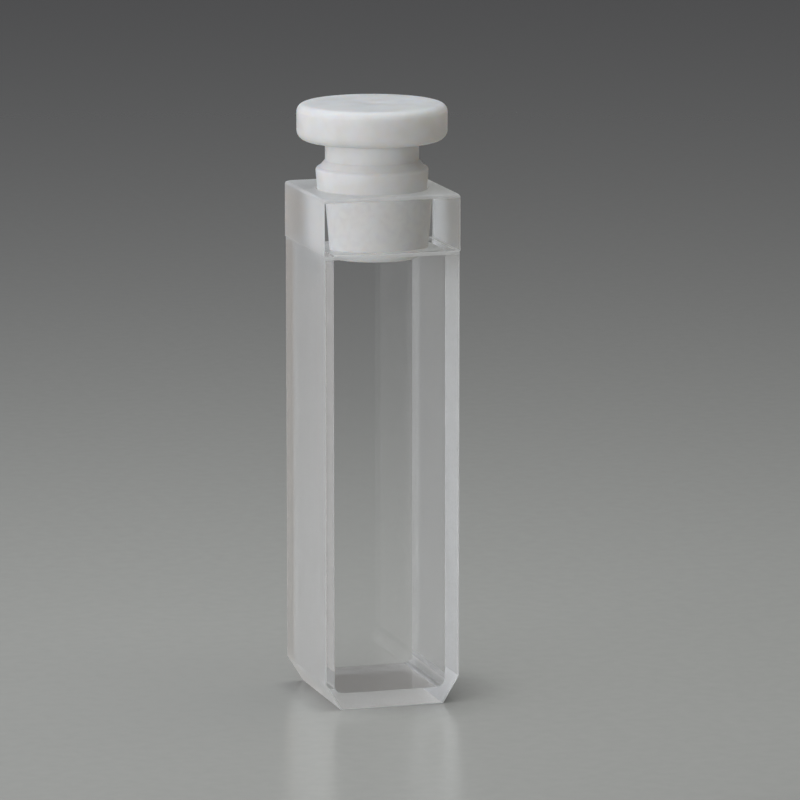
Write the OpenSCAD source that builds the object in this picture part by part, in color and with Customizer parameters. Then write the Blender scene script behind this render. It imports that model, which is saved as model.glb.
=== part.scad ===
// Square cuvette with a tapered push-in stopper.
// Two polished windows are fused to the front and back of a U-shaped frame.
// A neck block with a tapered round bore is fused on top, and the stopper seats in that bore.
// Millimetres, +Z up. The origin is the centre of the base.
// X runs across the windows, Y runs along the light path, with the front window at -Y.

/* [Cell] */
// Outer width of the cell, across the frame's two side walls
cell_w = 12.5; // [12:0.1:20]
// Light path: the gap between the two windows
path_length = 10; // [9.5:0.1:20]
// Height of the windows and the frame, up to the neck block
body_h = 41; // [20:0.5:60]
// Thickness of each window
window_t = 1.25; // [0.8:0.05:2.5]
// Thickness of the frame's side walls
wall_t = 1.1; // [0.8:0.05:1.5]
// Thickness of the frame's floor
floor_t = 1.35; // [0.8:0.05:4]
// Radius of the chamber's two lower corners
chamber_r = 0.8; // [0.2:0.1:2]
// Width of the bevel that is ground off each lower side corner
foot_bevel_w = 1.5; // [0.5:0.1:2.4]
// Height of that bevel
foot_bevel_h = 2.4; // [0.5:0.1:4]
// Width of the fine bevel along the windows' outer edges
arris = 0.1; // [0.05:0.05:0.5]

/* [Neck block] */
// Height of the neck block
neck_h = 5.1; // [3:0.1:12]
// How far the neck block stands out past the body on each side
neck_proud = 0.05; // [0.05:0.05:0.4]
// Radius along the block's top edges
neck_top_round = 0.25; // [0.05:0.05:1]
// Radius of the block's upright edges
neck_edge_round = 0.15; // [0.05:0.05:1]
// Width of the lead-in bevel round the mouth of the bore
mouth_bevel = 0.15; // [0.05:0.05:0.5]

/* [Stopper plug] */
// Diameter of the plug level with the top of the neck block
plug_d = 9.8; // [8.6:0.02:10.2]
// Length of plug in which its diameter falls by 1 mm
taper_run = 6; // [5:0.5:20]
// Gap all round between the plug and its bore
seat_clearance = 0.03; // [0.01:0.01:0.1]
// How far the taper stands above the neck block when the stopper is seated
plug_stand = 1.9; // [0.5:0.05:5]
// How far the plug's end reaches below the neck block
plug_overhang = 1; // [0.2:0.1:5]
// Radius round the plug's lower end
plug_end_round = 0.4; // [0.1:0.05:1]

/* [Stopper head] */
// Diameter of the head
head_d = 13.44; // [11:0.02:20]
// Height of the head
head_h = 3.25; // [2:0.05:8]
// Radius round the head's top edge
head_top_round = 0.75; // [0.1:0.05:0.9]
// Radius round the head's lower edge
head_under_round = 0.9; // [0.1:0.05:0.9]
// Diameter of the finger groove under the head
groove_d = 8.38; // [5:0.02:9.6]
// Height of the straight part of the groove
groove_h = 1.9; // [0.5:0.1:6]
// Height of the sloping shoulder between the groove and the taper
shoulder_h = 0.5; // [0.2:0.05:2]
// Radius round the shoulder's outer edge
shoulder_round = 0.3; // [0.05:0.05:0.4]
// Diameter of the shallow turning mark in the middle of the head
centre_mark_d = 1.8; // [0.4:0.1:4]
// Depth of that mark
centre_mark_depth = 0.08; // [0.02:0.02:0.4]

/* [Hidden] */
$fn = 96;

// How far a cutting shape runs past the face that it cuts
past = 1;

cell_d = path_length + 2 * window_t;
chamber_w = cell_w - 2 * wall_t;
cell_h = body_h + neck_h;
neck_w = cell_w + 2 * neck_proud;
neck_d = cell_d + 2 * neck_proud;
taper_slope = 0.5 / taper_run;

// Heights of the stopper's turned edges, from the plug's end up to the underside of the head
plug_end_z = body_h - plug_overhang;
taper_top_z = cell_h + plug_stand;
groove_z = taper_top_z + shoulder_h;
head_z = groove_z + groove_h;

quartz = [0.80, 0.84, 0.86, 0.45];
ground_quartz = [0.86, 0.88, 0.88, 0.75];
white_resin = [0.93, 0.93, 0.91];

// Radius of the plug at a height, on the line of its taper
function plug_r(z) = plug_d / 2 + (z - cell_h) * taper_slope;

// Radius of the bore at a height: the plug's taper with the seat's gap added
function bore_r(z) = plug_r(z) + seat_clearance;

// Front outline of the body: upright sides and a ground bevel at each lower corner
module body_front() {
  half = cell_w / 2;
  polygon([
    [-half, body_h], [-half, foot_bevel_h], [-half + foot_bevel_w, 0],
    [half - foot_bevel_w, 0], [half, foot_bevel_h], [half, body_h]
  ]);
}

// Plan of the body: a rectangle with a fine bevel on each upright edge
module body_plan() {
  half_w = cell_w / 2;
  half_d = cell_d / 2;
  polygon([
    [-half_w + arris, -half_d], [half_w - arris, -half_d],
    [half_w, -half_d + arris], [half_w, half_d - arris],
    [half_w - arris, half_d], [-half_w + arris, half_d],
    [-half_w, half_d - arris], [-half_w, -half_d + arris]
  ]);
}

// Side outline of the body: a fine bevel where each window's outer face meets the base
module body_side() {
  half = cell_d / 2;
  polygon([
    [-half, body_h], [-half, arris], [-half + arris, 0],
    [half - arris, 0], [half, arris], [half, body_h]
  ]);
}

// Stretches a front outline, drawn in X and height, along Y between two places
module along_y(from, to) {
  translate([0, to, 0])
    rotate([90, 0, 0])
      linear_extrude(to - from)
        children();
}

// Stretches a side outline, drawn in Y and height, across a width
module across_x(width) {
  translate([-width / 2, 0, 0])
    rotate([90, 0, 90])
      linear_extrude(width)
        children();
}

// The layer of the body between two places along the light path
module body_layer(from, to) {
  intersection() {
    along_y(from, to)
      body_front();
    linear_extrude(body_h)
      body_plan();
    across_x(cell_w)
      body_side();
  }
}

// Outline of the chamber: straight walls, a flat floor and round lower corners, open at the top
module chamber_outline() {
  corner_x = chamber_w / 2 - chamber_r;
  corner_z = floor_t + chamber_r;
  translate([-chamber_w / 2, corner_z])
    square([chamber_w, body_h + past - corner_z]);
  translate([-corner_x, floor_t])
    square([2 * corner_x, body_h + past - floor_t]);
  for (side = [-1, 1])
    translate([side * corner_x, corner_z])
      circle(chamber_r);
}

// U-shaped frame that holds the windows apart: two side walls and the floor in one piece
module spacer_frame() {
  half_path = path_length / 2;
  color(ground_quartz)
    difference() {
      body_layer(-half_path, half_path);
      along_y(-half_path - past, half_path + past)
        chamber_outline();
    }
}

// Polished plate that closes the front of the frame
module front_window() {
  color(quartz)
    body_layer(-cell_d / 2, -path_length / 2);
}

// Polished plate that closes the back of the frame
module rear_window() {
  color(quartz)
    body_layer(path_length / 2, cell_d / 2);
}

// Elevation of the neck block at a width: square at the bottom, round at its two top corners
module neck_elevation(width) {
  corner = width / 2 - neck_top_round;
  translate([-width / 2, body_h])
    square([width, neck_h - neck_top_round]);
  translate([-corner, body_h])
    square([2 * corner, neck_h]);
  for (side = [-1, 1])
    translate([side * corner, cell_h - neck_top_round])
      circle(neck_top_round);
}

// Plan of the neck block: a rectangle just larger than the body, with round corners
module neck_plan() {
  corner_x = neck_w / 2 - neck_edge_round;
  corner_y = neck_d / 2 - neck_edge_round;
  square([neck_w, 2 * corner_y], center = true);
  square([2 * corner_x, neck_d], center = true);
  for (x = [-corner_x, corner_x], y = [-corner_y, corner_y])
    translate([x, y])
      circle(neck_edge_round);
}

// Tapered bore through the neck block, with the lead-in bevel at its mouth
module neck_bore() {
  translate([0, 0, body_h - past])
    cylinder(h = neck_h + 2 * past, r1 = bore_r(body_h - past), r2 = bore_r(cell_h + past));
  translate([0, 0, cell_h - mouth_bevel])
    cylinder(h = mouth_bevel + past, r1 = bore_r(cell_h), r2 = bore_r(cell_h) + mouth_bevel + past);
}

// Block with the tapered bore, which stands just proud of the body under it
module neck_block() {
  color(quartz)
    difference() {
      intersection() {
        translate([0, 0, body_h])
          linear_extrude(neck_h)
            neck_plan();
        along_y(-neck_d / 2, neck_d / 2)
          neck_elevation(neck_w);
        across_x(neck_w)
          neck_elevation(neck_d);
      }
      neck_bore();
    }
}

// Half section of the head: a disc with a round top edge and a rounder lower edge
module head_section() {
  head_r = head_d / 2;
  top_z = head_z + head_h;
  polygon([
    [0, head_z], [head_r - head_under_round, head_z], [head_r, head_z + head_under_round],
    [head_r, top_z - head_top_round], [head_r - head_top_round, top_z], [0, top_z]
  ]);
  translate([head_r - head_under_round, head_z + head_under_round])
    circle(head_under_round);
  translate([head_r - head_top_round, top_z - head_top_round])
    circle(head_top_round);
}

// Half section of the plug: the taper with its round lower end, and the shoulder up to the groove
module plug_section() {
  end_z = plug_end_z + plug_end_round;
  end_r = plug_r(end_z);
  shoulder_z = taper_top_z - shoulder_round;
  shoulder_r = plug_r(shoulder_z);
  polygon([
    [0, plug_end_z], [end_r - plug_end_round, plug_end_z], [end_r, end_z],
    [shoulder_r, shoulder_z], [shoulder_r - shoulder_round, taper_top_z],
    [groove_d / 2, groove_z], [groove_d / 2, head_z + past], [0, head_z + past]
  ]);
  translate([end_r - plug_end_round, end_z])
    circle(plug_end_round);
  translate([shoulder_r - shoulder_round, shoulder_z])
    circle(shoulder_round);
}

// Shallow dish that turning leaves in the middle of the head
module centre_mark() {
  sphere_r = (pow(centre_mark_d / 2, 2) + pow(centre_mark_depth, 2)) / (2 * centre_mark_depth);
  translate([0, 0, head_z + head_h + sphere_r - centre_mark_depth])
    sphere(sphere_r);
}

// Turned stopper: head, finger groove and tapered plug in one piece
module stopper() {
  color(white_resin)
    difference() {
      rotate_extrude() {
        head_section();
        plug_section();
      }
      centre_mark();
    }
}

spacer_frame();
front_window();
rear_window();
neck_block();
stopper();
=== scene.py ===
"""Looks, studio and camera for a square stoppered cuvette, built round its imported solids.

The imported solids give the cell's outside sizes, and the classes hold all others. The four quartz pieces are
fused together, so the faces where they touch let light straight through, and every other face is either
polished or finely ground. The stopper is turned from a white resin and rides on a body of its own.
"""
import logging
import math
from abc import ABC, abstractmethod
from dataclasses import dataclass, field
from enum import Enum
from typing import ClassVar, Iterable, Sequence

import bmesh
import bpy
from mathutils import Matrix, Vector


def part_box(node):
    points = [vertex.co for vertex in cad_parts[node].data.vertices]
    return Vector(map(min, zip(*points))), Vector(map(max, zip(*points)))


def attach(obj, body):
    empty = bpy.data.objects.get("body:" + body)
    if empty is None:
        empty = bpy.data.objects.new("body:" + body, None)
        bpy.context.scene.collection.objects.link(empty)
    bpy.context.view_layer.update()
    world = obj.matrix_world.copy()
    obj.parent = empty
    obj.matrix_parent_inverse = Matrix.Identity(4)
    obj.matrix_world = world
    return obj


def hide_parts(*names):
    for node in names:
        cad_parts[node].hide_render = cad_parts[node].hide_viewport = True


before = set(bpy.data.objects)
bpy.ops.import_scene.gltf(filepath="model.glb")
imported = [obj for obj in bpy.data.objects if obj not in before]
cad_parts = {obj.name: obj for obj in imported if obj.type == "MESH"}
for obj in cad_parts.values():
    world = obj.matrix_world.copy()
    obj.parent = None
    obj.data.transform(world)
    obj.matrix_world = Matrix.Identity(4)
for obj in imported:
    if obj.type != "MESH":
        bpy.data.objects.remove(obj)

LOG = logging.getLogger("cuvette")

MM = 0.001
CELL_BODY = "cell"
STOPPER_BODY = "stopper"

Plan = list[tuple[float, float]]
Span = tuple[float, float]
Colour = tuple[float, float, float]
Socket = bpy.types.NodeSocket

WHITE: Colour = (1.0, 1.0, 1.0)


# ---- Node helpers ----

# Where the Mix node keeps its sockets when it mixes colours
MIX_SHARE, MIX_FIRST, MIX_SECOND, MIX_RESULT = 0, 6, 7, 2

# The part of its range that holds most of a noise's values
MOST_NOISE: Span = (0.3, 0.7)


class Weave:
    """The node tree of a material or a world, with short calls for the nodes that they share."""

    def __init__(self, owner: bpy.types.Material | bpy.types.World, output: str = "OutputMaterial") -> None:
        """Starts with an empty tree and its output.

        Args:
            owner: The new material or world.
            output: The output node's type, without its ShaderNode prefix.
        """
        self.owner = owner
        self.owner.use_nodes = True
        self.tree = self.owner.node_tree
        self.tree.nodes.clear()
        self.output = self.node(output)

    def node(self, kind: str, **settings: object) -> bpy.types.Node:
        """Adds a node and sets its properties.

        Args:
            kind: The node's type, without its ShaderNode prefix.
            settings: Properties of the node, by name.

        Returns:
            The new node.
        """
        made = self.tree.nodes.new(f"ShaderNode{kind}")
        for key, value in settings.items():
            setattr(made, key, value)
        return made

    def link(self, source: Socket, target: Socket) -> None:
        """Joins two sockets."""
        self.tree.links.new(source, target)

    def feed(self, value: Socket | float, slot: Socket) -> None:
        """Gives an input its value.

        Args:
            value: A socket to join to it, or a number to set it to.
            slot: The input.
        """
        if isinstance(value, Socket):
            self.link(value, slot)
        else:
            slot.default_value = value

    def place(self) -> Socket:
        """The piece's own coordinates, in metres."""
        return self.node("TexCoord").outputs["Object"]

    def math(self, operation: str, first: Socket | float, second: Socket | float = 0.0) -> Socket:
        """Adds a Math node.

        Args:
            operation: The node's operation, such as MULTIPLY.
            first: A socket or a number.
            second: A socket or a number.

        Returns:
            The node's value.
        """
        made = self.node("Math", operation=operation)
        self.feed(first, made.inputs[0])
        self.feed(second, made.inputs[1])
        return made.outputs[0]

    def distance(self, across: Socket, deep: Socket) -> Socket:
        """How far a place lies from an upright axis, by its distances across and deep."""
        squares = [self.math("MULTIPLY", offset, offset) for offset in (across, deep)]
        return self.math("SQRT", self.math("ADD", *squares))

    def noise(self, size_mm: float, detail: float, stretch: Sequence[float] = (1, 1, 1)) -> Socket:
        """A cloud of noise whose grains are about one size.

        Args:
            size_mm: Size of a grain, in millimetres.
            detail: How many finer layers it has.
            stretch: How many times longer the grains are along each axis.

        Returns:
            The noise, from 0 to 1.
        """
        mapping = self.node("Mapping")
        self.link(self.place(), mapping.inputs["Vector"])
        mapping.inputs["Scale"].default_value = [1 / s for s in stretch]
        made = self.node("TexNoise")
        self.link(mapping.outputs[0], made.inputs["Vector"])
        made.inputs["Scale"].default_value = 1 / (size_mm * MM)
        made.inputs["Detail"].default_value = detail
        return made.outputs["Fac"]

    def spread(self, value: Socket, low: float, high: float, start: float, end: float) -> Socket:
        """Maps a value from one range to another, and holds it there.

        Args:
            value: The value to map.
            low: Result at start.
            high: Result at end.
            start: Value that gives low.
            end: Value that gives high.

        Returns:
            The mapped value.
        """
        made = self.node("MapRange")
        self.link(value, made.inputs["Value"])
        made.inputs["From Min"].default_value = start
        made.inputs["From Max"].default_value = end
        made.inputs["To Min"].default_value = low
        made.inputs["To Max"].default_value = high
        return made.outputs["Result"]

    def ramp(self, value: Socket, first: Colour, last: Colour, span: Span) -> Socket:
        """Turns a value into a colour, with a soft change from one colour to another.

        Args:
            value: The value, from 0 to 1.
            first: The linear colour up to the start of the span.
            last: The linear colour from the end of the span on.
            span: Where the change starts and ends.

        Returns:
            The colour.
        """
        made = self.node("ValToRGB")
        made.color_ramp.interpolation = "EASE"
        for stop, place, colour in zip(made.color_ramp.elements, span, (first, last)):
            stop.position = place
            stop.color = (*colour, 1.0)
        self.link(value, made.inputs["Fac"])
        return made.outputs["Color"]

    def blend(self, value: Socket, low: Colour, high: Colour) -> Socket:
        """Blends evenly between two colours.

        Args:
            value: The share of the second colour.
            low: The linear colour at 0.
            high: The linear colour at 1.

        Returns:
            The colour.
        """
        made = self.node("Mix", data_type="RGBA")
        self.link(value, made.inputs[MIX_SHARE])
        made.inputs[MIX_FIRST].default_value = (*low, 1.0)
        made.inputs[MIX_SECOND].default_value = (*high, 1.0)
        return made.outputs[MIX_RESULT]

    def dim(self, colour: Socket, left: Socket) -> Socket:
        """Darkens a colour.

        Args:
            colour: The full colour.
            left: The share of it that is left.

        Returns:
            The darker colour.
        """
        made = self.node("Mix", data_type="RGBA", blend_type="MULTIPLY")
        made.inputs[MIX_SHARE].default_value = 1.0
        self.link(colour, made.inputs[MIX_FIRST])
        self.link(left, made.inputs[MIX_SECOND])
        return made.outputs[MIX_RESULT]

    def bump(self, height: Socket, depth_mm: float) -> Socket:
        """A surface relief.

        Args:
            height: The relief's height, from 0 to 1.
            depth_mm: Depth of the relief, in millimetres.

        Returns:
            The bent normal.
        """
        made = self.node("Bump")
        made.inputs["Strength"].default_value = 1.0
        made.inputs["Distance"].default_value = depth_mm * MM
        self.link(height, made.inputs["Height"])
        return made.outputs["Normal"]

    def mix(self, first: Socket, second: Socket, share: Socket | float) -> Socket:
        """Mixes two shaders.

        Args:
            first: The shader that is left at a share of 0.
            second: The shader that is left at a share of 1.
            share: How much of the second goes in.

        Returns:
            The mixed shader.
        """
        made = self.node("MixShader")
        self.feed(share, made.inputs[0])
        self.link(first, made.inputs[1])
        self.link(second, made.inputs[2])
        return made.outputs[0]

    def milk(self, colour: Socket, through: float, relief: Socket | None = None) -> Socket:
        """A matt skin that sends part of the light back and lets the rest glow through.

        Args:
            colour: The skin's colour.
            through: The share that glows through.
            relief: The bent normal of its relief, if it has one.

        Returns:
            The skin's shader.
        """
        back, front = self.node("BsdfDiffuse"), self.node("BsdfTranslucent")
        for shader in (back, front):
            self.link(colour, shader.inputs["Color"])
            if relief is not None:
                self.link(relief, shader.inputs["Normal"])
        return self.mix(back.outputs[0], front.outputs[0], through)

    def passing(self, shader: Socket, share: float) -> Socket:
        """Lets lamp light and bounced light go straight through a see-through face.

        Args:
            shader: The face's own shader.
            share: How much of that light goes through, from 0 to 1.

        Returns:
            The mixed shader.
        """
        path = self.node("LightPath")
        either = self.math("MAXIMUM", path.outputs["Is Shadow Ray"], path.outputs["Is Diffuse Ray"])
        clear = self.node("BsdfTransparent")
        return self.mix(shader, clear.outputs[0], self.math("MULTIPLY", either, share))

    def finish(self, shader: Socket) -> bpy.types.Material | bpy.types.World:
        """Joins the last shader to the output, and gives the finished material or world."""
        self.link(shader, self.output.inputs["Surface"])
        return self.owner


# ---- Finishes ----

QUARTZ_IOR = 1.458
RESIN_IOR = 1.38


class Surface(Enum):
    """What a face of the object is like."""

    POLISHED = "polished"
    GROUND = "ground"
    SIDE = "side"
    TOP = "top"
    BASE = "base"
    BEVEL = "bevel"
    FINE_BEVEL = "fine_bevel"
    BORE = "bore"
    SEAM = "seam"
    FUSED = "fused"
    TURNED = "turned"


class Finish(ABC):
    """What the finishes of the cell and its stopper have in common."""

    @abstractmethod
    def material(self) -> bpy.types.Material:
        """Makes the finish's material."""


@dataclass(frozen=True)
class PolishedQuartz(Finish):
    """Clear polished quartz, with the faint wipe marks that a cleaned window keeps."""

    name: str = "polished_quartz"
    smooth: float = 0.0
    wiped: float = 0.035
    smear_mm: float = 3.5
    smear_run: float = 3.0
    smear_span: Span = (0.45, 0.8)
    passes: float = 0.96

    def material(self) -> bpy.types.Material:
        """Makes the finish, which is a little rougher where it was wiped.

        Returns:
            The material.
        """
        weave = Weave(bpy.data.materials.new(self.name))
        glass = weave.node("BsdfGlass")
        glass.inputs["Color"].default_value = (*WHITE, 1.0)
        glass.inputs["IOR"].default_value = QUARTZ_IOR
        smears = weave.noise(self.smear_mm, detail=3.0, stretch=(1.0, 1.0, self.smear_run))
        rough = weave.spread(smears, self.smooth, self.wiped, *self.smear_span)
        weave.link(rough, glass.inputs["Roughness"])
        return weave.finish(weave.passing(glass.outputs[0], self.passes))


@dataclass(frozen=True)
class GroundQuartz(Finish):
    """Frosted quartz: the ground skin sends part of the light back, part through, and blurs the rest."""

    name: str = "ground_quartz"
    blurred: float = 0.85
    through: float = 0.5
    passes: float = 0.85
    roughness: float = 0.52
    smoother: float = 0.05
    rougher: float = 0.08
    pale: Colour = (0.95, 0.95, 0.95)
    dull: Colour = (0.86, 0.86, 0.86)
    grain_mm: float = 0.18
    relief_mm: float = 0.003
    streak_grains: float = 2.5
    streak_run: float = 14.0
    cloud_mm: float = 4.0
    cloud_run: float = 2.5

    def material(self) -> bpy.types.Material:
        """Makes the finish, with the grain of the grinding, its upright streaks and faint clouds.

        Returns:
            The material.
        """
        weave = Weave(bpy.data.materials.new(self.name))
        grain = weave.noise(self.grain_mm, detail=5.0)
        streak_mm = self.grain_mm * self.streak_grains
        streaks = weave.noise(streak_mm, detail=4.0, stretch=(1.0, 1.0, self.streak_run))
        clouds = weave.noise(self.cloud_mm, detail=2.0, stretch=(1.0, 1.0, self.cloud_run))
        tone = weave.math("MULTIPLY", weave.math("ADD", streaks, clouds), 0.5)
        colour = weave.ramp(tone, self.dull, self.pale, MOST_NOISE)
        relief = weave.bump(grain, self.relief_mm)
        blur = weave.node("BsdfGlass")
        blur.inputs["IOR"].default_value = QUARTZ_IOR
        low, high = self.roughness - self.smoother, self.roughness + self.rougher
        weave.link(weave.spread(grain, low, high, *MOST_NOISE), blur.inputs["Roughness"])
        weave.link(relief, blur.inputs["Normal"])
        milk = weave.milk(colour, self.through, relief)
        skin = weave.mix(milk, blur.outputs[0], self.blurred)
        return weave.finish(weave.passing(skin, self.passes))


@dataclass(frozen=True)
class VeilQuartz(Finish):
    """A pale veil that is partly clear: along seams and fine edges, and in the bore round the plug."""

    name: str = "seam_quartz"
    clear: float = 0.28
    through: float = 0.5
    passes: float = 0.8
    pale: Colour = (0.95, 0.95, 0.95)
    dull: Colour = (0.9, 0.9, 0.9)
    fleck_mm: float = 1.4
    fleck_span: Span = (0.35, 0.6)

    def material(self) -> bpy.types.Material:
        """Makes the finish, with faint flecks in the veil.

        Returns:
            The material.
        """
        weave = Weave(bpy.data.materials.new(self.name))
        flecks = weave.noise(self.fleck_mm, detail=3.0)
        colour = weave.ramp(flecks, self.dull, self.pale, self.fleck_span)
        clear = weave.node("BsdfTransparent")
        veil = weave.mix(weave.milk(colour, self.through), clear.outputs[0], self.clear)
        return weave.finish(weave.passing(veil, self.passes))


@dataclass(frozen=True)
class FusedQuartz(Finish):
    """A face where two quartz pieces are fused: light goes on as if it weren't there."""

    name: str = "fused_quartz"

    def material(self) -> bpy.types.Material:
        """Makes the finish, which is fully clear."""
        weave = Weave(bpy.data.materials.new(self.name))
        return weave.finish(weave.node("BsdfTransparent").outputs[0])


@dataclass(frozen=True)
class TurnedResin(Finish):
    """White fluoropolymer as it comes off the lathe: waxy, a little translucent, with fine turning rings."""

    name: str = "white_resin"
    pale: Colour = (0.86, 0.86, 0.86)
    warm: Colour = (0.83, 0.82, 0.80)
    wax_mm: float = 1.6
    wax_span: Span = (0.3, 0.65)
    glow_mm: tuple[float, float, float] = (1.4, 1.2, 1.0)
    roughness: float = 0.42
    smoother: float = 0.05
    rougher: float = 0.1
    relief_mm: float = 0.0035
    ring_mm: float = 0.14
    ring_share: float = 0.6
    wander_mm: float = 0.05
    wander_run_mm: float = 6.0
    scratch_mm: float = 0.25

    def material(self) -> bpy.types.Material:
        """Makes the finish.

        Returns:
            The material.
        """
        weave = Weave(bpy.data.materials.new(self.name))
        skin = weave.node("BsdfPrincipled")
        wax = weave.noise(self.wax_mm, detail=4.0)
        weave.link(weave.ramp(wax, self.warm, self.pale, self.wax_span), skin.inputs["Base Color"])
        skin.inputs["IOR"].default_value = RESIN_IOR
        skin.inputs["Subsurface Weight"].default_value = 1.0
        skin.inputs["Subsurface Radius"].default_value = [r * MM for r in self.glow_mm]
        skin.inputs["Subsurface Scale"].default_value = 1.0
        low, high = self.roughness - self.smoother, self.roughness + self.rougher
        weave.link(weave.spread(wax, low, high, *MOST_NOISE), skin.inputs["Roughness"])
        weave.link(self.rings(weave), skin.inputs["Normal"])
        return weave.finish(skin.outputs[0])

    def rings(self, weave: Weave) -> Socket:
        """Fine turning rings: they follow the distance from the axis on faces, and the height on sides.

        Args:
            weave: The material that they go into.

        Returns:
            The bent normal.
        """
        parts = weave.node("SeparateXYZ")
        weave.link(weave.place(), parts.inputs[0])
        reach = weave.distance(parts.outputs["X"], parts.outputs["Y"])
        along = weave.math("ADD", reach, parts.outputs["Z"])
        drift = weave.noise(self.wander_run_mm, detail=1.0)
        wander = weave.math("MULTIPLY", drift, self.wander_mm * MM)
        turns = weave.math("MULTIPLY", weave.math("ADD", along, wander), 2 * math.pi / (self.ring_mm * MM))
        wave = weave.math("MULTIPLY", weave.math("ADD", weave.math("SINE", turns), 1.0), 0.5)
        scratches = weave.noise(self.scratch_mm, detail=3.0)
        height = weave.math("ADD", weave.math("MULTIPLY", wave, self.ring_share),
                            weave.math("MULTIPLY", scratches, 1 - self.ring_share))
        return weave.bump(height, self.relief_mm)


FINISHES: dict[Surface, Finish] = {
    Surface.POLISHED: PolishedQuartz(),
    Surface.GROUND: GroundQuartz(passes=0.93),
    Surface.SIDE: GroundQuartz(name="ground_side", blurred=0.84, roughness=0.58, passes=0.95),
    Surface.TOP: GroundQuartz(name="ground_top", blurred=0.38, roughness=0.33),
    # The base's warm tint is painted light: it stands in for the warm light at the foot, since the quartz
    # itself has no colour
    Surface.BASE: GroundQuartz(name="ground_base", blurred=0.78, through=0.15, roughness=0.45, passes=0.15,
                               pale=(0.94, 0.85, 0.74), dull=(0.87, 0.78, 0.68)),
    # The two bevel finishes are shaded and lit copies of one ground finish: the left bevel's renders darker
    # as painted shade, the right one's brighter as painted light
    Surface.BEVEL: GroundQuartz(name="ground_bevel", blurred=0.4, roughness=0.33, passes=0.15),
    Surface.FINE_BEVEL: GroundQuartz(name="ground_lit_bevel", blurred=0.84, roughness=0.58, passes=0.65),
    Surface.BORE: VeilQuartz(name="ground_bore", clear=0.62, fleck_mm=0.6),
    Surface.SEAM: VeilQuartz(),
    Surface.FUSED: FusedQuartz(),
    Surface.TURNED: TurnedResin(),
}


class Finishes:
    """The object's materials, each made the first time that a piece asks for it."""

    def __init__(self) -> None:
        """Starts with none made."""
        self.made: dict[Surface, bpy.types.Material] = {}

    def of(self, surface: Surface) -> bpy.types.Material:
        """Finds a material, or makes it the first time.

        Args:
            surface: The kind of surface that it is for.

        Returns:
            The material.
        """
        if surface not in self.made:
            self.made[surface] = FINISHES[surface].material()
        return self.made[surface]


# ---- Shapes ----

# Edges that bend by less than this are shaded smooth, in degrees
CRISP_BEND = 28.0

# How far large faces outweigh small ones where their shading meets: 50 is even
FLAT_WEIGHT = 100


@dataclass
class Shell:
    """A closed mesh under construction, in millimetres, with a surface for each face."""

    name: str
    points: list[tuple[float, float, float]] = field(default_factory=list)
    faces: list[tuple[int, ...]] = field(default_factory=list)
    surfaces: list[Surface] = field(default_factory=list)

    def ring(self, points: Iterable[Sequence[float]]) -> list[int]:
        """Adds points.

        Args:
            points: Their places.

        Returns:
            Their numbers.
        """
        first = len(self.points)
        self.points.extend(tuple(p) for p in points)
        return list(range(first, len(self.points)))

    def cap(self, corners: Sequence[int], surface: Surface) -> None:
        """Adds one face."""
        self.faces.append(tuple(corners))
        self.surfaces.append(surface)

    def band(self, low: Sequence[int], high: Sequence[int], surfaces: Surface | Sequence[Surface]) -> None:
        """Joins two closed rings of the same length with quads.

        Args:
            low: The first ring.
            high: The second ring.
            surfaces: The surface of the whole band, or one for each quad in turn.
        """
        count = len(low)
        each = [surfaces] * count if isinstance(surfaces, Surface) else surfaces
        for i, surface in enumerate(each):
            j = (i + 1) % count
            self.cap((low[i], low[j], high[j], high[i]), surface)

    def fan(self, rim: Sequence[int], tip: int, surface: Surface) -> None:
        """Closes a ring onto one point."""
        for i, corner in enumerate(rim):
            self.cap((corner, rim[(i + 1) % len(rim)], tip), surface)

    def build(self, finishes: Finishes) -> bpy.types.Object:
        """Makes the object, its faces turned outwards and its flat faces kept flat.

        Args:
            finishes: Where its materials come from.

        Returns:
            The new object.
        """
        mesh = bpy.data.meshes.new(self.name)
        mesh.from_pydata([Vector(p) * MM for p in self.points], [], self.faces)
        order = list(dict.fromkeys(self.surfaces))
        for surface in order:
            mesh.materials.append(finishes.of(surface))
        for polygon, surface in zip(mesh.polygons, self.surfaces):
            polygon.material_index = order.index(surface)
        self.crease(mesh)
        made = bpy.data.objects.new(self.name, mesh)
        bpy.context.scene.collection.objects.link(made)
        weighted = made.modifiers.new("flat_faces", "WEIGHTED_NORMAL")
        weighted.keep_sharp = True
        weighted.weight = FLAT_WEIGHT
        return made

    @staticmethod
    def crease(mesh: bpy.types.Mesh) -> None:
        """Turns the faces outwards and marks the crisp edges.

        Args:
            mesh: The mesh to work on.
        """
        work = bmesh.new()
        work.from_mesh(mesh)
        bmesh.ops.recalc_face_normals(work, faces=work.faces)
        for face in work.faces:
            face.smooth = True
        for edge in work.edges:
            edge.smooth = edge.calc_face_angle(math.pi) < math.radians(CRISP_BEND)
        work.to_mesh(mesh)
        work.free()


def quarter(steps: int) -> Plan:
    """Points of a quarter circle of radius 1, from (0, 1) round to (1, 0) in so many steps."""
    turns = [math.pi / 2 * i / steps for i in range(steps + 1)]
    return [(math.sin(t), math.cos(t)) for t in turns]


def rounding(across: float, height: float, radius: float, steps: int, upper: bool = False) -> Plan:
    """A round edge, followed upwards.

    Args:
        across: How far out the rounding's middle lies.
        height: How high its middle lies.
        radius: Its radius.
        steps: How many pieces it is cut into.
        upper: Whether it runs from a side in to a top, and not from an underside out to a side.

    Returns:
        Its points, as distances across and heights.
    """
    if upper:
        return [(across + radius * cosine, height + radius * sine) for sine, cosine in quarter(steps)]
    return [(across + radius * sine, height - radius * cosine) for sine, cosine in quarter(steps)]


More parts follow.
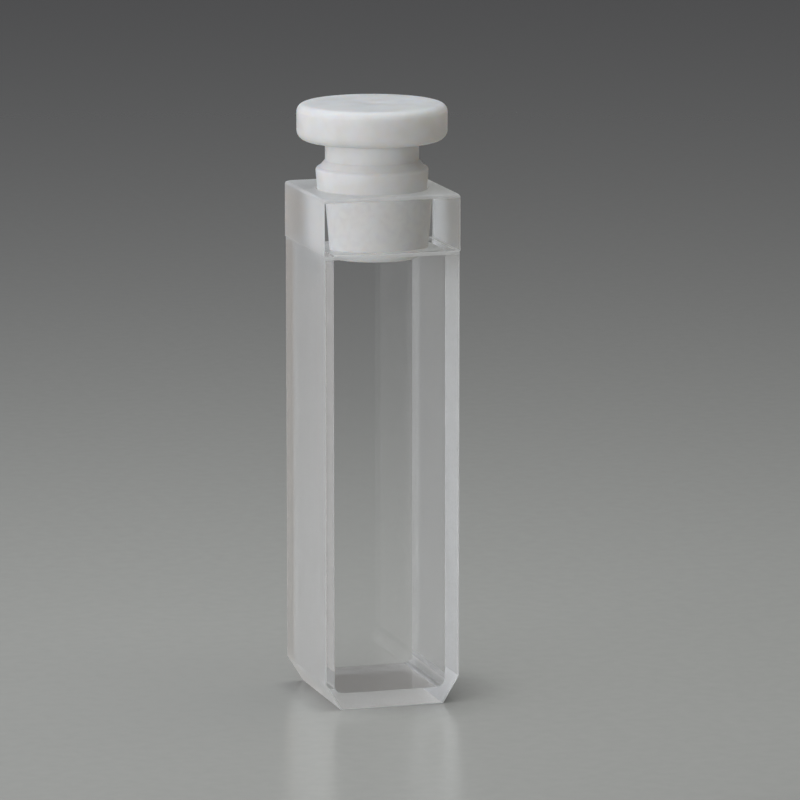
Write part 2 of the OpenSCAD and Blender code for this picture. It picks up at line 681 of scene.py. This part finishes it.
class Piece(ABC):
    """A sub-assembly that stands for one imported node."""

    body: ClassVar[str] = CELL_BODY
    slot: ClassVar[str] = "polished_quartz"
    node: str

    @abstractmethod
    def shell(self) -> Shell:
        """Builds the piece's mesh."""

    def dress(self, finishes: Finishes) -> bpy.types.Object:
        """Makes the piece in its finishes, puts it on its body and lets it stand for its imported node.

        Args:
            finishes: Where its materials come from.

        Returns:
            The new object.
        """
        made = self.shell().build(finishes)
        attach(made, self.body)
        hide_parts(self.node)
        return made


# The body's outside along its outline: left side and foot bevel, base, right foot bevel and side; the left
# bevel takes the shaded copy of the bevel finish and the right one the lit copy
OUTSIDE = (Surface.SIDE, Surface.BEVEL, Surface.BASE, Surface.FINE_BEVEL, Surface.SIDE)


@dataclass
class CellSizes:
    """Sizes of the cell in millimetres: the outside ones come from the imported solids."""

    half_width: float
    half_depth: float
    half_path: float
    body_top: float
    neck_half: float
    neck_top: float
    side_wall: float = 1.1
    floor: float = 1.35
    chamber_radius: float = 0.8
    foot_bevel_width: float = 1.5
    foot_bevel_height: float = 2.4
    arris: float = 0.1
    seam_lip: float = 0.3
    corner_steps: int = 8

    @classmethod
    def from_frame(cls) -> "CellSizes":
        """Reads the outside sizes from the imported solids.

        Returns:
            The cell's sizes.
        """
        low, high = (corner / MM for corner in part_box("front_window"))
        neck_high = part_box("neck_block")[1] / MM
        return cls(high.x, -low.y, -high.y, high.z, neck_high.x, neck_high.z)

    @property
    def half_chamber(self) -> float:
        """Half the width of the chamber."""
        return self.half_width - self.side_wall

    def outline(self, inset: float = 0.0, top_inset: float = 0.0) -> Plan:
        """The body's front outline, from its top left corner down round the foot to its top right corner.

        Args:
            inset: How far the sides, bevels and base are moved inwards.
            top_inset: How far the top is moved down.

        Returns:
            Points in X and height.
        """
        run, rise = self.foot_bevel_width, self.foot_bevel_height
        slant = math.hypot(run, rise)
        foot = self.half_width - run - inset * (slant - rise) / run
        side = self.half_width - inset
        knee = rise + inset * (slant - run) / rise
        right = [(foot, inset), (side, knee), (side, self.body_top - top_inset)]
        return [(-x, z) for x, z in reversed(right)] + right

    def chamber(self) -> Plan:
        """The chamber's outline, from its top left corner down round its floor to its top right corner.

        Returns:
            Points in X and height.
        """
        half, radius = self.half_chamber, self.chamber_radius
        right = rounding(half - radius, self.floor + radius, radius, self.corner_steps)
        right.append((half, self.body_top))
        return [(-x, z) for x, z in reversed(right)] + right


class Side(Enum):
    """Which end of the light path a window closes."""

    FRONT = -1
    REAR = 1


@dataclass
class Window(Piece):
    """A polished plate: clear over the chamber, fused to the frame round it, with ground edges."""

    sizes: CellSizes
    side: Side
    arris_steps: int = 3

    @property
    def node(self) -> str:
        """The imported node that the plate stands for."""
        return f"{self.side.name.lower()}_window"

    def outline(self, inset: float = 0.0, top_inset: float = 0.0) -> Plan:
        """The plate's outline: the body's, with two more points above the chamber's walls on its top line.

        Args:
            inset: How far the sides, bevels and base are moved inwards.
            top_inset: How far the top is moved down.

        Returns:
            Points in X and height.
        """
        points = self.sizes.outline(inset, top_inset)
        wall, top = self.sizes.half_chamber, points[-1][1]
        return points + [(wall, top), (-wall, top)]

    def shell(self) -> Shell:
        """Builds the plate's mesh, from its inner face out to the polished outer one.

        Returns:
            The mesh, not yet an object.
        """
        s, way = self.sizes, self.side.value
        shell = Shell(f"{self.node}_plate")

        def loop(y: float, plan: Plan) -> list[int]:
            """Adds an outline at a distance along the light path."""
            return shell.ring((x, way * y, z) for x, z in plan)

        before = loop(s.half_path, self.outline())
        *outer, right, left = before
        chamber = [left] + loop(s.half_path, s.chamber()[1:-1]) + [right]
        shell.cap(outer + chamber[::-1], Surface.FUSED)
        shell.cap(chamber, Surface.POLISHED)
        top_line = [Surface.FUSED] * (len(before) - len(OUTSIDE))
        edge: Surface | Sequence[Surface] = [*OUTSIDE, *top_line]
        for reach, drop in quarter(self.arris_steps):
            y = s.half_depth - s.arris * (1 - reach)
            now = loop(y, self.outline(s.arris * (1 - drop), s.seam_lip * (1 - drop)))
            shell.band(before, now, edge)
            before, edge = now, Surface.SEAM
        shell.cap(before, Surface.POLISHED)
        return shell


@dataclass
class Spacer(Piece):
    """The U-shaped frame between the windows: ground outside, polished inside, fused front, back and top."""

    slot: ClassVar[str] = "ground_quartz"
    sizes: CellSizes
    node: str = "spacer_frame"

    def shell(self) -> Shell:
        """Builds the frame's mesh.

        Returns:
            The mesh, not yet an object.
        """
        reach = self.sizes.half_path
        chamber = self.sizes.chamber()
        section = self.sizes.outline() + chamber[::-1]
        shell = Shell("spacer_frame_channel")
        front = shell.ring((x, -reach, z) for x, z in section)
        back = shell.ring((x, reach, z) for x, z in section)
        shell.cap(front, Surface.FUSED)
        shell.cap(back, Surface.FUSED)
        inside = [Surface.POLISHED] * (len(chamber) - 1)
        shell.band(front, back, [*OUTSIDE, Surface.FUSED, *inside, Surface.FUSED])
        return shell


@dataclass(frozen=True)
class Taper:
    """The cone of the plug and its bore, in millimetres, with heights from the top of the neck block."""

    radius: float = 4.9
    slope: float = 1 / 12
    clearance: float = 0.03

    def plug(self, height: float) -> float:
        """The plug's radius at a height."""
        return self.radius + height * self.slope

    def bore(self, height: float) -> float:
        """The bore's radius at a height."""
        return self.plug(height) + self.clearance


@dataclass
class Neck(Piece):
    """The block on top: polished front and back, ground sides and top, with the stopper's tapered bore."""

    sizes: CellSizes
    taper: Taper
    node: str = "neck_block"
    edge_round: float = 0.08
    lip_height: float = 0.32
    lip_depth: float = 0.17
    top_corner: float = 0.7
    mouth_bevel: float = 0.15
    seam_bevel: float = 0.05
    seam_band: float = 0.3
    side_steps: int = 24
    corner_steps: int = 6
    round_steps: int = 6

    def plan(self, inset: float, corner: float) -> Plan:
        """The block's square plan, as points that run round it once.

        Args:
            inset: How far its sides are moved inwards.
            corner: Radius of its corners.

        Returns:
            Points in X and Y.
        """
        half = self.sizes.neck_half - inset
        flat = half - corner
        side = [(half, flat * (2 * i / self.side_steps - 1)) for i in range(1, self.side_steps)]
        bend = [(flat + corner * c, flat + corner * s) for s, c in quarter(self.corner_steps)]
        points: Plan = []
        for cosine, sine in ((1, 0), (0, 1), (-1, 0), (0, -1)):
            points += [(x * cosine - y * sine, x * sine + y * cosine) for x, y in side + bend]
        return points

    def walls(self) -> list[Surface]:
        """The surfaces round the plan: the sides across the light path are polished, all else is ground.

        Returns:
            The surface of each stretch of the plan in turn.
        """
        ground, polished = Surface.GROUND, Surface.POLISHED
        stretches: list[Surface] = []
        for side, following in ((ground, polished), (polished, ground)):
            stretches += [side] * (self.side_steps - 1) + [ground] * self.corner_steps + [following]
        return stretches * 2

    def circle(self, radius: float) -> Plan:
        """A circle with a point for each point of the plan, in the same direction."""
        turns = [math.atan2(y, x) for x, y in self.plan(0.0, self.edge_round)]
        return [(radius * math.cos(t), radius * math.sin(t)) for t in turns]

    def square(self, half_x: float, half_y: float) -> Plan:
        """A rectangle with a point for each point of the plan, in the same direction.

        Args:
            half_x: Half its size in X.
            half_y: Half its size in Y.

        Returns:
            Points in X and Y.
        """
        points: Plan = []
        for x, y in self.plan(0.0, self.edge_round):
            share = min(half_x / abs(x) if x else math.inf, half_y / abs(y) if y else math.inf)
            points.append((x * share, y * share))
        return points

    def shell(self) -> Shell:
        """Builds the block's mesh: up its walls, over its top, down the bore and back across its foot.

        Returns:
            The mesh, not yet an object.
        """
        s, corner = self.sizes, self.edge_round
        shell = Shell("neck_block_glass")

        def loop(z: float, plan: Plan) -> list[int]:
            """Adds a closed outline at a height."""
            return shell.ring((x, y, z) for x, y in plan)

        foot = loop(s.body_top, self.plan(self.seam_bevel, corner))
        before = loop(s.body_top + self.seam_bevel, self.plan(0.0, corner))
        shell.band(foot, before, Surface.SEAM)
        wall: Surface | Sequence[Surface] = self.walls()
        for sine, cosine in quarter(self.round_steps):
            part = 1 - cosine
            plan = self.plan(self.lip_depth * part, corner + (self.top_corner - corner) * part)
            now = loop(s.neck_top - self.lip_height * (1 - sine), plan)
            shell.band(before, now, wall)
            before, wall = now, Surface.TOP
        mouth = loop(s.neck_top, self.circle(self.taper.bore(0.0) + self.mouth_bevel))
        shell.band(before, mouth, Surface.TOP)
        lip = loop(s.neck_top - self.mouth_bevel, self.circle(self.taper.bore(-self.mouth_bevel)))
        shell.band(mouth, lip, Surface.GROUND)
        end = loop(s.body_top, self.circle(self.taper.bore(s.body_top - s.neck_top)))
        shell.band(lip, end, Surface.BORE)
        chamber = loop(s.body_top, self.square(s.half_chamber, s.half_path))
        shell.band(end, chamber, Surface.SEAM)
        edge = loop(s.body_top, self.plan(self.seam_bevel + self.seam_band, corner))
        shell.band(chamber, edge, Surface.FUSED)
        shell.band(edge, foot, Surface.SEAM)
        return shell


@dataclass
class Stopper(Piece):
    """The turned stopper: head, finger groove, shoulder and tapered plug, revolved from one profile."""

    body: ClassVar[str] = STOPPER_BODY
    slot: ClassVar[str] = "white_resin"
    sizes: CellSizes
    taper: Taper
    node: str = "stopper"
    plug_overhang: float = 1.0
    plug_stand: float = 1.9
    end_round: float = 0.4
    end_ring: float = 2.2
    taper_rings: tuple[float, ...] = (2.5, 4.5, 6.5)
    shoulder_height: float = 0.5
    shoulder_round: float = 0.32
    crest_in: float = 0.0064
    crest_up: float = 0.01
    root_out: float = 0.14
    root_down: float = 0.05
    groove_height: float = 1.9
    groove_radius: float = 4.19
    groove_rings: tuple[float, ...] = (0.1, 0.6)
    groove_fillet: float = 0.3
    head_height: float = 3.25
    head_radius: float = 6.72
    under_round: float = 0.9
    top_round: float = 0.75
    top_rings: tuple[float, ...] = (4.5, 2.0)
    mark_radius: float = 0.9
    mark_depth: float = 0.08
    mark_rings: tuple[float, ...] = (1.0, 0.8, 0.55, 0.3, 0.0)
    end_steps: int = 5
    fillet_steps: int = 4
    head_steps: int = 8
    turns: int = 192

    @property
    def shoulder_foot(self) -> float:
        """Height of the upper end of the taper, where the shoulder starts."""
        return self.sizes.neck_top + self.plug_stand

    @property
    def groove_foot(self) -> float:
        """Height of the lower end of the finger groove."""
        return self.shoulder_foot + self.shoulder_height

    @property
    def head_foot(self) -> float:
        """Height of the head's underside."""
        return self.groove_foot + self.groove_height

    def radius_at(self, height: float) -> float:
        """The plug's radius on its taper at a height above the base."""
        return self.taper.plug(height - self.sizes.neck_top)

    def plug(self) -> Plan:
        """The plug's half section, from the middle of its end out and up its taper.

        Returns:
            Points as radius and height, the first on the axis.
        """
        end = self.sizes.body_top - self.plug_overhang
        bend = end + self.end_round
        points: Plan = [(0.0, end), (self.end_ring, end)]
        points += rounding(self.radius_at(bend) - self.end_round, bend, self.end_round, self.end_steps)
        points += [(self.radius_at(end + up), end + up) for up in self.taper_rings]
        return points

    def shoulder(self) -> Plan:
        """The shoulder's half section, from the upper end of the taper in to the root of the groove.

        Returns:
            Points as radius and height.
        """
        bend = self.shoulder_foot - self.shoulder_round
        crest = self.radius_at(bend) - self.shoulder_round
        points = rounding(crest, bend, self.shoulder_round, self.fillet_steps, upper=True)[:-1]
        points.append((crest - self.crest_in, self.shoulder_foot + self.crest_up))
        points.append((self.groove_radius + self.root_out, self.groove_foot - self.root_down))
        return points

    def groove(self) -> Plan:
        """The finger groove's half section, from its root up round the fillet under the head.

        Returns:
            Points as radius and height.
        """
        radius, fillet = self.groove_radius, self.groove_fillet
        points = [(radius, self.groove_foot + up) for up in self.groove_rings]
        points += [(radius + fillet * (1 - cosine), self.head_foot - fillet * (1 - sine))
                   for sine, cosine in quarter(self.fillet_steps)]
        return points

    def head(self) -> Plan:
        """The head's half section, from its underside round to the turning mark in the middle of its top.

        Returns:
            Points as radius and height, the last on the axis.
        """
        radius, foot, top = self.head_radius, self.head_foot, self.head_foot + self.head_height
        under, over = self.under_round, self.top_round
        points = rounding(radius - under, foot + under, under, self.head_steps)
        points.append((radius, (foot + top) / 2))
        points += rounding(radius - over, top - over, over, self.head_steps, upper=True)
        points += [(ring, top) for ring in self.top_rings]
        points += [(self.mark_radius * share, top - self.mark_depth * (1 - share ** 2))
                   for share in self.mark_rings]
        return points

    def shell(self) -> Shell:
        """Builds the stopper's mesh, from the middle of its end up to the middle of its head.

        Returns:
            The mesh, not yet an object.
        """
        shell = Shell("stopper_turned")
        first, *middle, last = self.plug() + self.shoulder() + self.groove() + self.head()
        angles = [2 * math.pi * i / self.turns for i in range(self.turns)]
        start = shell.ring([(0.0, 0.0, first[1])])[0]
        rings = [shell.ring((r * math.cos(a), r * math.sin(a), z) for a in angles) for r, z in middle]
        finish = shell.ring([(0.0, 0.0, last[1])])[0]
        shell.fan(rings[0], start, Surface.TURNED)
        for low, high in zip(rings, rings[1:]):
            shell.band(low, high, Surface.TURNED)
        shell.fan(rings[-1], finish, Surface.TURNED)
        return shell


# ---- Studio ----


def away(azimuth: float, elevation: float) -> Vector:
    """The direction to a viewpoint, by degrees round the object from its front and above the horizon."""
    a, e = math.radians(azimuth), math.radians(elevation)
    return Vector((math.sin(a) * math.cos(e), -math.cos(a) * math.cos(e), math.sin(e)))


def stand(thing: bpy.types.Object, place: Vector, back: Vector) -> None:
    """Stands a lamp or a camera in the scene.

    Args:
        thing: The lamp or camera.
        place: Where it stands, in metres.
        back: The direction from what it looks at to it.
    """
    thing.location = place
    thing.rotation_mode = "QUATERNION"
    thing.rotation_quaternion = (-back).to_track_quat("-Z", "Y")
    bpy.context.scene.collection.objects.link(thing)


@dataclass(frozen=True)
class Lamp:
    """A soft rectangular lamp that looks at the object, with its angles in degrees and sizes in metres.

    The strength is that of each square metre of its face, so the size of the lamp doesn't change it.
    """

    name: str
    azimuth: float
    elevation: float
    width: float
    height: float
    strength: float
    colour: Colour = WHITE
    distance: float = 0.65

    def place(self, aim: Vector) -> None:
        """Hangs the lamp.

        Args:
            aim: The point that it looks at, in metres.
        """
        data = bpy.data.lights.new(self.name, "AREA")
        data.shape = "RECTANGLE"
        data.size, data.size_y = self.width, self.height
        data.energy = self.strength * self.width * self.height * math.pi
        data.color = self.colour
        back = away(self.azimuth, self.elevation)
        stand(bpy.data.objects.new(self.name, data), aim + back * self.distance, back)


@dataclass(frozen=True)
class Bench:
    """A satin bench top with painted light and shade, its sizes in metres where their names don't say
    millimetres.
    """

    name: str = "bench_top"
    reach: float = 1.6
    drop_mm: float = 0.02
    # near is the pale of the painted pool of light round the object and far the painted shade further off;
    # the pool's centre sits a little to the left, towards the main lamps
    near: Colour = (0.58, 0.572, 0.53)
    far: Colour = (0.090, 0.088, 0.088)
    pool_centre_mm: Span = (-13.0, 4.0)
    pool_reach: float = 0.204
    pool_fall: float = 1.9
    mottle_mm: float = 1.4
    mottle_depth: float = 0.025
    # shade_from and shade_to bound the painted shade over the bench in front of the object
    shade_from: float = -0.045
    shade_to: float = -0.15
    # These fields and lee_reach set the painted shade round the foot: ambient occlusion darkens the colour,
    # deepest on the right
    contact_mm: float = 10.0
    contact_dark: float = 0.92
    contact_span: Span = (0.1, 0.9)
    contact_samples: int = 12
    lee_reach: float = 0.006
    lit_share: float = 0.15
    roughness: float = 0.22
    ior: float = 1.45

    def lay(self) -> None:
        """Lays the bench top, a hair under the base so that the two faces never share a plane."""
        mesh = bpy.data.meshes.new(self.name)
        reach, z = self.reach, -self.drop_mm * MM
        corners = [(-reach, -reach, z), (reach, -reach, z), (reach, reach, z), (-reach, reach, z)]
        mesh.from_pydata(corners, [], [(0, 1, 2, 3)])
        mesh.materials.append(self.material())
        made = bpy.data.objects.new(self.name, mesh)
        bpy.context.scene.collection.objects.link(made)

    def material(self) -> bpy.types.Material:
        """Makes the bench top's finish: a painted pool of light round the object, painted shade further off
        and in front, and painted shade round the foot.

        Returns:
            The material.
        """
        weave = Weave(bpy.data.materials.new(self.name))
        parts = weave.node("SeparateXYZ")
        weave.link(weave.place(), parts.inputs[0])
        across, along = parts.outputs["X"], parts.outputs["Y"]
        colour = weave.blend(self.painted_light_pool(weave, across, along), self.far, self.near)
        top = weave.node("BsdfPrincipled")
        weave.link(weave.dim(colour, self.painted_contact_shade(weave, across)), top.inputs["Base Color"])
        top.inputs["Roughness"].default_value = self.roughness
        top.inputs["IOR"].default_value = self.ior
        return weave.finish(top.outputs[0])

    def painted_light_pool(self, weave: Weave, across: Socket, along: Socket) -> Socket:
        """The painted pool of light on the bench top: palest round the object, with painted shade further off
        and most in front.

        Args:
            weave: The material that it goes into.
            across: The place in X.
            along: The place in Y.

        Returns:
            The share of the near colour.
        """
        offsets = [weave.math("SUBTRACT", place, centre * MM)
                   for place, centre in zip((across, along), self.pool_centre_mm)]
        run = weave.math("DIVIDE", weave.distance(*offsets), self.pool_reach)
        fall = weave.math("DIVIDE", 1.0, weave.math("ADD", weave.math("POWER", run, self.pool_fall), 1.0))
        flecks = weave.noise(self.mottle_mm, detail=5.0)
        mottle = weave.spread(flecks, 1 - self.mottle_depth, 1 + self.mottle_depth, *MOST_NOISE)
        # Painted shade over the bench in front of the object
        front = weave.spread(along, 0.0, 1.0, self.shade_to, self.shade_from)
        return weave.math("MULTIPLY", weave.math("MULTIPLY", fall, mottle), front)

    def painted_contact_shade(self, weave: Weave, across: Socket) -> Socket:
        """Painted shade close round the object's foot, from ambient occlusion in the colour: deep on its
        right, away from the main lamps, and faint on its left.

        Args:
            weave: The material that it goes into.
            across: The place in X.

        Returns:
            The share of the colour that is left.
        """
        open_air = weave.node("AmbientOcclusion", samples=self.contact_samples)
        open_air.inputs["Distance"].default_value = self.contact_mm * MM
        nook = weave.spread(open_air.outputs["AO"], self.contact_dark, 0.0, *self.contact_span)
        lee = weave.spread(across, self.lit_share, 1.0, -self.lee_reach, self.lee_reach)
        return weave.math("SUBTRACT", 1.0, weave.math("MULTIPLY", nook, lee))


@dataclass
class Studio:
    """The bench top, soft lamps, a plain world and the camera, with its angles in degrees.

    Lengths are in metres where their names don't say millimetres.
    """

    bench: Bench = Bench()
    surround: Colour = (0.099, 0.098, 0.103)
    ambient: float = 0.05
    lamp_aim_mm: tuple[float, float, float] = (0.0, 0.0, 27.0)
    lamps: tuple[Lamp, ...] = (
        Lamp("key_front_left", azimuth=-45.0, elevation=8.0, width=0.40, height=0.18, strength=7.65),
        Lamp("rear_left", azimuth=-122.0, elevation=8.0, width=0.50, height=0.18, strength=1.90,
             colour=(0.95, 1.0, 1.05)),
        Lamp("left", azimuth=-85.0, elevation=40.0, width=0.50, height=0.40, strength=1.66,
             colour=(0.95, 0.96, 1.09)),
        Lamp("high_right", azimuth=80.0, elevation=66.0, width=0.55, height=0.50, strength=0.89,
             colour=(1.0, 1.04, 0.96)),
        Lamp("overhead", azimuth=180.0, elevation=80.0, width=0.80, height=0.80, strength=1.0,
             colour=(0.93, 1.0, 1.07)),
        Lamp("right_fill", azimuth=105.0, elevation=8.0, width=0.34, height=0.16, strength=1.6,
             colour=(1.2, 0.98, 0.82)),
    )
    camera_azimuth: float = -16.91
    camera_elevation: float = 10.54
    camera_distance_mm: float = 548.8
    camera_aim_mm: tuple[float, float, float] = (2.60, 0.0, 26.67)
    camera_lens_mm: float = 275.2
    camera_clip: Span = (0.01, 10.0)
    glass_bounces: int = 24
    clear_bounces: int = 48

    def world(self) -> None:
        """Sets an even faint light all round, and the plain shade that is seen past the bench."""
        weave = Weave(bpy.data.worlds.new("surround"), "OutputWorld")
        light, shown = weave.node("Background"), weave.node("Background")
        light.inputs["Color"].default_value = (*WHITE, 1.0)
        light.inputs["Strength"].default_value = self.ambient
        shown.inputs["Color"].default_value = (*self.surround, 1.0)
        path = weave.node("LightPath")
        seen = path.outputs["Is Camera Ray"]
        for kind in ("Is Glossy Ray", "Is Transmission Ray"):
            seen = weave.math("MAXIMUM", seen, path.outputs[kind])
        bpy.context.scene.world = weave.finish(weave.mix(light.outputs[0], shown.outputs[0], seen))

    def camera(self) -> None:
        """Stands the camera at the object's three-quarter front."""
        data = bpy.data.cameras.new("camera")
        data.lens = self.camera_lens_mm
        data.clip_start, data.clip_end = self.camera_clip
        camera = bpy.data.objects.new("camera", data)
        back = away(self.camera_azimuth, self.camera_elevation)
        stand(camera, (Vector(self.camera_aim_mm) + back * self.camera_distance_mm) * MM, back)
        bpy.context.scene.camera = camera

    def build(self) -> None:
        """Sets up the whole studio."""
        scene = bpy.context.scene
        scene.view_settings.view_transform = "Standard"
        scene.cycles.max_bounces = self.glass_bounces
        scene.cycles.transmission_bounces = self.glass_bounces
        scene.cycles.transparent_max_bounces = self.clear_bounces
        scene.cycles.caustics_reflective = False
        scene.cycles.caustics_refractive = False
        self.camera()
        self.bench.lay()
        self.world()
        for lamp in self.lamps:
            lamp.place(Vector(self.lamp_aim_mm) * MM)


# ---- Assembly ----


def main() -> None:
    """Builds the studio and every piece in order."""
    logging.basicConfig(level=logging.INFO, format="%(name)s: %(message)s")
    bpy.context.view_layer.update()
    studio = Studio()
    studio.build()
    LOG.info("studio: bench, %d lamps and camera", len(studio.lamps))
    sizes, taper, finishes = CellSizes.from_frame(), Taper(), Finishes()
    pieces = (Spacer(sizes), Window(sizes, Side.FRONT), Window(sizes, Side.REAR), Neck(sizes, taper),
              Stopper(sizes, taper))
    for piece in pieces:
        made = piece.dress(finishes)
        LOG.info("%s: %d faces on %s", made.name, len(made.data.polygons), piece.body)


if __name__ == "__main__":
    main()
